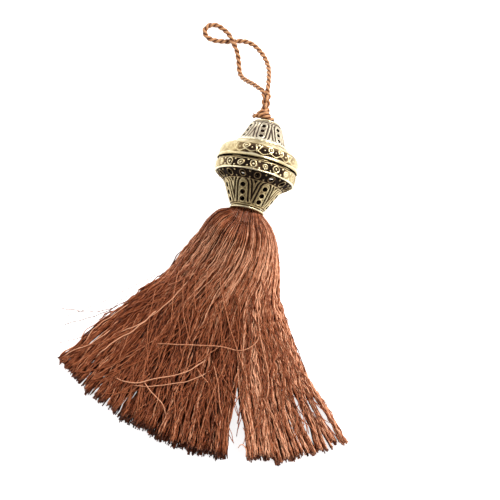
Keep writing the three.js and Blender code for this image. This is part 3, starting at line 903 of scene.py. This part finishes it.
def swayed(sway, s):
    """Sideways places of swaying strands, which grow from the neck to the ends."""
    amounts, phases, waves = sway
    total = sum(amounts[:, k:k + 1] * np.sin(s * wave * TAU + phases[:, k:k + 1])
                for k, wave in enumerate(waves))
    return total * s ** 0.8


def crimp(random, distance, size):
    """A small irregular zigzag along each strand, in mm."""
    count = len(distance)
    length = random.uniform(3.4, 6.5, (count, 1))
    phase = random.uniform(0, TAU, (count, 1))
    amount = random.uniform(0.2, 1.0, (count, 1)) * size
    wave = np.sin(TAU * distance / length + phase + 0.9 * np.sin(distance * 0.31 + 2 * phase))
    return amount * wave * smoothstep(6, 18, distance)


def strand_tubes(paths, radii, tones, twists):
    """Points, quads and tones of closed, flattened and twisted tubes along (strand, station, 3) paths."""
    count, stations, _ = paths.shape
    tangents = np.gradient(paths, axis=1)
    tangents /= np.linalg.norm(tangents, axis=2)[..., None]
    side = np.cross(tangents, [0.02, 0.05, 1.0])
    side /= np.linalg.norm(side, axis=2)[..., None]
    up = np.cross(side, tangents)
    angles = (np.arange(STRAND_SIDES) + 0.5) / STRAND_SIDES * TAU
    wide, thin = 1.25 * np.cos(angles), 0.8 * np.sin(angles)
    turn_cos, turn_sin = np.cos(twists)[..., None], np.sin(twists)[..., None]
    along_side = wide * turn_cos - thin * turn_sin
    along_up = wide * turn_sin + thin * turn_cos
    ring = along_side[..., None] * side[:, :, None] + along_up[..., None] * up[:, :, None]
    points = paths[:, :, None] + ring * radii[:, :, None, None]
    per_strand = stations * STRAND_SIDES
    ends = np.array([[3, 2, 1, 0], np.arange(per_strand - 4, per_strand)])
    quads = np.vstack([grid_faces(stations, STRAND_SIDES), ends])
    faces = (quads[None] + (np.arange(count) * per_strand)[:, None, None]).reshape(-1, 4)
    point_tones = np.broadcast_to(tones[:, :, None], (count, stations, STRAND_SIDES))
    return points.reshape(-1, 3), faces, point_tones.ravel()


def new_clumps(random, column):
    """Where a column's clumps lie, and how each sways, gathers and ends."""
    count = int(round((column["high"] - column["low"]) / CLUMP_WIDTH))
    cell = (column["high"] - column["low"]) / count
    places = np.arange(count) + 0.5 + random.uniform(-0.22, 0.22, count)
    return {"centre": column["low"] + cell * places, "cell": cell, "reach": random.normal(0, 0.6, count),
            "sway": new_sway(random, count, (0.5, 1.2)), "gather": random.uniform(*column["gather"], count)}


def parted(lateral, distance, across, middle):
    """Moves strands out of the gaps between locks: sideways places in mm by distance from the neck."""
    for parting in PARTINGS:
        gap = profile_at(parting["gap"], distance)
        line = parting["across"] * np.radians(edge_angle(middle, distance)) * distance
        side = np.where(across < parting["across"], -1, 1)
        away = side * (lateral - line)
        spread = 6.0 if gap.max() > 1 else 1.6
        pushed = away + gap * np.exp(-away / spread)
        pulled = gap + away * np.where(gap > 0, 0.15, 1)
        lateral = line + side * np.where(away > 0, pushed, pulled)
    return lateral


def lock_paths(random, column, layer, clumps, count):
    """Paths, radii and heights of a lock's strands."""
    across = random.uniform(column["low"], column["high"], count)
    up = layer["low"] + (layer["high"] - layer["low"]) * random.beta(0.8, 0.8, count)
    clump = np.argmin(np.abs(across[:, None] - clumps["centre"][None]), axis=1)
    centre = clumps["centre"][clump][:, None]
    trim = column["trim"] if layer["name"] == "over" else 0.1
    lengths = column["reach"] - trim + clumps["reach"][clump] + random.normal(0, 0.5, count)
    s = np.linspace(0, 1, layer["stations"])[None]
    distance = LOCK_START + (lengths[:, None] - LOCK_START) * s ** 1.12
    gather = clumps["gather"][clump][:, None] * smoothstep(column["parts_at"], 0.96, s)
    u = centre + (across[:, None] - centre) * (1 - gather) + random.normal(0, 0.007, (count, 1)) * s
    u = np.clip(u, -1.02, 1.02)
    u = u + WHORL * (1 - np.minimum(u * u, 1)) * (1 - smoothstep(7, 34, distance))
    loose = 0.5 if column["tone"] > 0 else 1.15
    stray = swayed(new_sway(random, count, (0.9, 2.2, 4.1)), s)
    shift = 0.5 * swayed(clumps["sway"], s)[clump] + loose * stray * (1 - 0.75 * gather)
    shift += crimp(random, distance, 0.26 + max(column["tone"], 0)) * (1 - 0.5 * gather)
    edge = np.radians(edge_angle(column["low"] + 0.01, distance)) * distance
    lateral = parted(u * edge + shift, distance, across[:, None], column["low"] + 0.01)
    height = up[:, None] + 0.05 * swayed(new_sway(random, count, (0.8, 1.9)), s)
    paths = skirt_points(u, np.clip(height, 0.02, 1), distance, lateral - u * edge)
    radii = layer["radius"] * random.uniform(0.75, 1.2, (count, 1)) * (0.5 + 0.5 * smoothstep(0, 0.3, s))
    if layer["name"] == "over":
        valley = np.clip(2 * np.abs(across[:, None] - centre) / clumps["cell"], 0, 1) ** 2
        depth = 1.3 * smoothstep(4.8, 7.5, distance) * (1 - 0.65 * smoothstep(14, 40, distance))
        paths[..., 2] -= valley * depth
    paths[..., 2] = np.maximum(paths[..., 2] + crimp(random, distance, 0.16), radii + 0.02)
    return paths, radii, up


def neck_paths(paths):
    """Leads each strand back from the skirt's head, round the collar's rim, into the bead's mouth."""
    first = paths[:, 0]
    lean = first[:, 0] / LOCK_START
    rise = (first[:, 2] - AXIS_HEIGHT) / 5.2
    fill = np.minimum(1.0, 1 / np.maximum(np.hypot(lean, rise), 1e-3))
    mouth = np.stack([lean * fill, rise * fill], axis=1) * 4.05

    def at(share, along):
        x, z = mouth[:, 0] * share, AXIS_HEIGHT + mouth[:, 1] * share
        return np.stack([x, np.full(len(first), along), z], axis=1)

    lead = np.stack([at(0.86, 1.6), at(0.9, 1.0), at(0.95, 0.4), at(1.0, -0.1)], axis=1)
    paths = np.concatenate([lead, paths], axis=1)
    for _ in range(2):
        middle = (paths[:, 1:6] + paths[:, 3:8]) / 2
        paths[:, 2:7] += 0.4 * (middle - paths[:, 2:7])
    return paths, lead.shape[1]


def strand_tones(random, paths, up, column, layer):
    """Lightness of each strand along its length, with painted light and shade: lighter upper strands, painted
    highlight dashes where it twists, and painted shade that darkens the cut ends, creases near the neck and
    the lower strands.
    """
    count = len(paths)
    steps = np.linalg.norm(np.diff(paths, axis=1), axis=2)
    reach = np.concatenate([np.zeros((count, 1)), np.cumsum(steps, axis=1)], axis=1)
    distance = np.hypot(paths[..., 0], paths[..., 1])
    if layer["name"] == "over":
        # Painted light: the higher strands and the head are lighter, and the column's tone makes the
        # right-hand locks lighter.
        lighter = profile_at(PAINTED_LIGHT_RIGHT if column["tone"] > 0 else PAINTED_LIGHT_LEFT, distance)
        base = 0.40 + 1.1 * (up[:, None] - 0.77) + column["tone"] + lighter
    else:
        # Painted shade under the upper strands: the lower strands are much darker, less so towards their
        # ends.
        ends = 0.18 if column["trim"] > 0.5 else 0.24
        base = 0.14 + 0.3 * up[:, None] + 0.6 * column["tone"] + ends * smoothstep(52, 66, distance)
        side = column["low"] + 0.01
        outer = np.abs(np.degrees(np.arctan2(paths[..., 0], -paths[..., 1]))) / edge_angle(side, distance)
        # Less painted shade where the lower strands reach the skirt's outer edges.
        base = base + 0.24 * smoothstep(0.88, 1.0, outer) * smoothstep(12, 20, distance)
    # Painted shade in creases: some strands are darker near the neck.
    crease_shaded = random.uniform(0, 1, (count, 1)) < 0.16
    base = base - 0.34 * crease_shaded * (1 - smoothstep(10, 24, distance)) + random.normal(0, 0.16, (count, 1))
    # Painted highlight and shade in dashes where each strand twists, stronger on the right-hand locks.
    painted_twist_glints = np.sin(TAU * reach / random.uniform(2.4, 4.2, (count, 1)) + random.uniform(0, TAU, (count, 1)))
    tones = base + (0.07 + 0.4 * max(column["tone"], 0)) * painted_twist_glints
    # Painted shade at the cut ends, stronger on the lower strands of the trimmed locks.
    tip = smoothstep(2.6, 0.4, reach[:, -1:] - reach)
    shaded = 0.14 if layer["name"] == "under" and column["trim"] > 0.5 else 0.06
    twists = TAU * reach / random.uniform(7.5, 13, (count, 1)) + random.uniform(0, TAU, (count, 1))
    return np.clip(tones * (1 - shaded * tip), 0.01, 1), twists


# Single strands that lie across the skirt, as (x, y) points.
CROSSING_STRANDS = {
    "left": [[(-27.0, -57.0), (-24.4, -57.9), (-20.4, -57.6), (-14.6, -54.9), (-7.0, -51.5), (-1.5, -46.0)],
             [(-23.0, -58.6), (-17.0, -57.9), (-11.4, -56.1), (-4.4, -53.1), (1.0, -48.5)],
             [(-18.6, -56.2), (-16.0, -58.8), (-13.5, -60.6), (-11.2, -62.4), (-9.6, -65.0)],
             [(-30.3, -44.0), (-24.0, -40.1), (-16.2, -31.0), (-11.0, -21.5)],
             [(-34.0, -52.2), (-30.1, -47.0), (-24.2, -41.3), (-18.6, -33.3)],
             [(-39.3, -49.1), (-39.4, -46.7), (-38.5, -44.1), (-36.3, -41.7), (-32.8, -38.0), (-28.6, -33.4)],
             [(-38.1, -48.5), (-37.3, -45.1), (-34.8, -41.4), (-31.3, -37.7), (-27.7, -33.2)],
             [(-43.6, -54.2), (-41.6, -52.0), (-38.5, -50.1), (-35.0, -47.2), (-31.2, -42.5)]],
    "middle": [[(-18.5, -44.9), (-10.3, -43.4), (-4.1, -42.5), (1.8, -41.5), (7.6, -41.3), (10.3, -39.5),
                (12.0, -37.0), (11.9, -34.7), (9.4, -34.2)],
               [(0.3, -46.1), (3.3, -52.0), (5.7, -59.2), (7.0, -61.5)],
               [(-4.0, -49.1), (-1.2, -51.6), (1.3, -53.6)],
               [(-3.5, -19.8), (-2.5, -23.9), (0.3, -29.9), (4.4, -37.5), (9.1, -45.0), (11.9, -50.5),
                (11.3, -54.0), (9.3, -54.9)],
               [(10.8, -53.2), (9.7, -58.1), (9.7, -63.3)]],
    "right": [[(16.7, -52.4), (22.6, -59.0), (27.9, -67.3)],
              [(8.7, -24.1), (12.6, -35.5), (17.7, -46.6), (19.2, -56.2)],
              [(16.6, -71.6), (15.9, -69.4), (14.6, -68.6), (13.7, -69.6)]],
}
# Fine fibres that stand off the skirt's edges, as (x, y) points from inside the skirt outwards.
LOOSE_FIBRES = {
    "left": [[(-28.7, -33.0), (-36.0, -37.4), (-48.1, -39.4)],
             [(-27.0, -31.1), (-34.8, -37.7), (-45.5, -43.9)],
             [(-33.1, -42.1), (-39.9, -46.9), (-45.7, -49.7)],
             [(-34.1, -46.6), (-39.3, -52.1), (-44.3, -55.6)],
             [(-20.7, -21.4), (-29.0, -28.4), (-38.6, -36.4), (-45.2, -41.0)],
             [(-20.1, -24.0), (-29.6, -31.5), (-35.0, -39.6), (-42.8, -44.6)]],
    "middle": [[(10.4, -49.2), (11.5, -56.1), (12.2, -63.0)], [(9.4, -56.2), (11.6, -60.1), (12.6, -66.4)]],
    "right": [[(25.2, -41.0), (30.9, -48.3), (34.3, -52.4)], [(29.2, -49.0), (33.4, -52.8), (38.0, -59.6)]],
}


def random_crossings(random, low, high, count):
    """Routes of strands that slant across the others, kept between two fractions of the edge angle."""
    routes = []
    for _ in range(count):
        distance, across = random.uniform(20, 66), random.uniform(low + 0.03, high - 0.03)
        angle = math.radians(across * float(edge_angle(across, distance)))
        x, y = distance * math.sin(angle), -distance * math.cos(angle)
        heading = angle + random.choice((-1, 1)) * math.radians(random.uniform(7, 34))
        length, bend = random.uniform(7, 25), random.normal(0, 0.03)
        route = [(x, y)]
        for _ in range(int(length / 1.5)):
            heading += bend
            x, y = x + 1.5 * math.sin(heading), y - 1.5 * math.cos(heading)
            place = math.hypot(x, y)
            share = math.degrees(math.atan2(x, -y)) / float(edge_angle(x, place))
            if place > 70 or not low < share < high:
                break
            route.append((x, y))
        if len(route) > 3:
            routes.append(route)
    return routes


# Each group's span as fractions of the edge angle, and how many strands slant across it at random.
CROSSED = {"left": (-1, -0.25, 95), "middle": (-0.25, 0.3, 60), "right": (0.3, 1, 95)}


def stray_parts(random, group):
    """Tube parts and tones of a group's crossing strands and loose fibres."""
    slanting = random_crossings(random, *CROSSED[group])
    kinds = [(CROSSING_STRANDS[group], 0.155, 0.9, 0.75), (slanting, 0.13, 0.6, 0.3),
             (LOOSE_FIBRES[group], 0.11, 0.42, 0.3)]
    parts, tones = [], []
    for routes, radius, tone, lift in kinds:
        for route in routes:
            flat = catmull_rom([(x, y, 0.0) for x, y in route], 0.8)
            distance = np.hypot(flat[:, 0], flat[:, 1])[None]
            flat[:, 0] += crimp(random, distance, 0.16)[0]
            flat[:, 1] += crimp(random, distance, 0.16)[0]
            share = np.linspace(0, 1, len(flat))
            inside = smoothstep(0, 0.15, share) * (1 - smoothstep(0.85, 1, share)) if lift > 0.5 else 1
            rise = lift * random.uniform(0.4, 1.3) * inside - 0.5 * (1 - inside)
            flat[:, 2] = resting_height(flat[:, 0], flat[:, 1]) + rise + radius
            side, up = carried_frames(flat)
            parts.append(tube_mesh(flat, side, up, radius * random.uniform(0.8, 1.1), STRAND_SIDES))
            tones.append(np.full(len(parts[-1][0]), np.clip(tone + random.normal(0, 0.1), 0.1, 1)))
    points, faces = joined(parts)
    return points, np.array(faces), np.concatenate(tones)


def build_lock(random, column, layer, clumps, material):
    name, group = column["name"], column["name"].split("_")[0]
    count = int(layer["density"] * (column["high"] - column["low"]))
    paths, radii, up = lock_paths(random, column, layer, clumps, count)
    paths, extra = neck_paths(paths)
    radii = np.concatenate([np.repeat(radii[:, :1], extra, axis=1), radii], axis=1)
    tones, twists = strand_tones(random, paths, up, column, layer)
    points, faces, point_tones = strand_tubes(paths, radii, tones, twists)
    if layer["name"] == "over" and name in STRAYS_ON:
        more_points, more_faces, more_tones = stray_parts(random, STRAYS_ON[name])
        faces = np.vstack([faces, more_faces + len(points)])
        points = np.vstack([points, more_points])
        point_tones = np.concatenate([point_tones, more_tones])
    piece = mesh_object(f"{name}_{layer['name']}_strands", placed(points), faces, {"tone": point_tones})
    nodes = [f"{name}_{layer['name']}"]
    if nodes == ["middle_lock_1_over"]:
        nodes.append("bundle_neck")
    body = GROUPS[group]
    finished(piece, material, body if body == "core" else None, nodes)
    if body != "core":
        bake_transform(piece)


def build_fold(random, material):
    """The middle of the yarn bundle, arched over the cord's U inside the bead's mouth."""
    count, stations = 130, 18
    angle = np.linspace(-0.5, math.pi + 0.5, stations)[None]
    ring = random.uniform(1.05, 3.35, (count, 1))
    x = random.uniform(-1.5, 1.5, (count, 1)) + 0.05 * np.sin(angle * 3)
    z = AXIS_HEIGHT + ring * np.cos(angle)
    y = -0.1 + ring * np.sin(angle) * 0.95
    paths = np.stack(np.broadcast_arrays(x, y, z), axis=-1)
    tones = np.broadcast_to(random.uniform(0.1, 0.6, (count, 1)), (count, stations))
    shape = np.full((count, stations), 0.2)
    points, faces, point_tones = strand_tubes(paths, shape, tones, shape)
    piece = mesh_object("fold_strands", placed(points), faces, {"tone": point_tones})
    finished(piece, material, "core", ["strand_fold"])


def build_skirt():
    materials = {"outer_yarn": yarn_material("rust_floss", 0.36),
                 "inner_yarn": yarn_material("rust_floss_inner", 0.5)}
    random = np.random.RandomState(11)
    for column in COLUMNS:
        clumps = new_clumps(random, column)
        for layer in LAYERS:
            build_lock(random, column, layer, clumps, materials[layer["slot"]])
    build_fold(random, materials["inner_yarn"])


# ---------------------------------------------------------------- surroundings

def add_area(name, location, target, size, power, colour=(1, 1, 1)):
    data = bpy.data.lights.new(name, "AREA")
    data.shape = "RECTANGLE"
    data.size, data.size_y = size
    data.energy = power
    data.color = colour
    light = bpy.data.objects.new(name, data)
    light.location = location
    aim = Vector(target) - Vector(location)
    light.rotation_euler = aim.to_track_quat("-Z", "Y").to_euler()
    bpy.context.scene.collection.objects.link(light)


def add_floor():
    """A white table lit from within, as photographers use to lose the shadows."""
    half = 1.2
    corners = [(-half, -half, 0), (half, -half, 0), (half, half, 0), (-half, half, 0)]
    mesh = bpy.data.meshes.new("light_table")
    mesh.from_pydata(corners, [], [(0, 1, 2, 3)])
    floor = bpy.data.objects.new("light_table", mesh)
    bpy.context.scene.collection.objects.link(floor)
    material, _, _, shader = new_material("glowing_white")
    shader.inputs["Base Color"].default_value = (0.8, 0.8, 0.8, 1)
    shader.inputs["Roughness"].default_value = 0.9
    shader.inputs["Specular IOR Level"].default_value = 0.1
    shader.inputs["Emission Color"].default_value = (1, 1, 1, 1)
    shader.inputs["Emission Strength"].default_value = 0.82
    mesh.materials.append(material)


def add_world():
    """A studio that is bright beyond the loop, and darker overhead and on the skirt's side."""
    world = bpy.data.worlds.new("studio")
    bpy.context.scene.world = world
    world.use_nodes = True
    nodes, links = world.node_tree.nodes, world.node_tree.links
    coordinates = nodes.new("ShaderNodeTexCoord")
    facing = nodes.new("ShaderNodeVectorMath")
    facing.operation = "DOT_PRODUCT"
    facing.inputs[1].default_value = (-0.15, 0.95, -0.2)
    links.new(coordinates.outputs["Generated"], facing.inputs[0])
    raised = math_node(nodes, links, "ADD", facing.outputs["Value"], 1.0)
    share = math_node(nodes, links, "MULTIPLY", raised, 0.5)
    sky = ramp(nodes, [(0.0, (0.55,) * 3), (0.22, (0.22,) * 3), (0.45, (0.30,) * 3), (0.7, (0.95,) * 3),
                       (1.0, (1.5,) * 3)])
    links.new(share, sky.inputs["Fac"])
    background = nodes["Background"]
    links.new(sky.outputs["Color"], background.inputs["Color"])
    background.inputs["Strength"].default_value = 0.9


def add_surroundings():
    add_floor()
    add_world()
    add_area("key_back_right", (0.34, 0.40, 0.50), (0, 0, 0.01), (0.22, 0.22), 7.5, (1.0, 0.99, 0.97))
    add_area("side_left", (-0.60, 0.10, 0.35), (0, 0, 0.01), (0.5, 0.5), 2.6, (1.0, 0.98, 0.95))
    add_area("side_right", (0.65, -0.05, 0.30), (0, 0, 0.01), (0.4, 0.5), 2.4)
    bpy.context.scene.view_settings.view_transform = "Standard"


# ---------------------------------------------------------------- assembly

add_camera()
CORD = cord_material()
build_loop(CORD)
build_knot(CORD)
build_core_cord(CORD)
build_bead()
build_skirt()
add_surroundings()
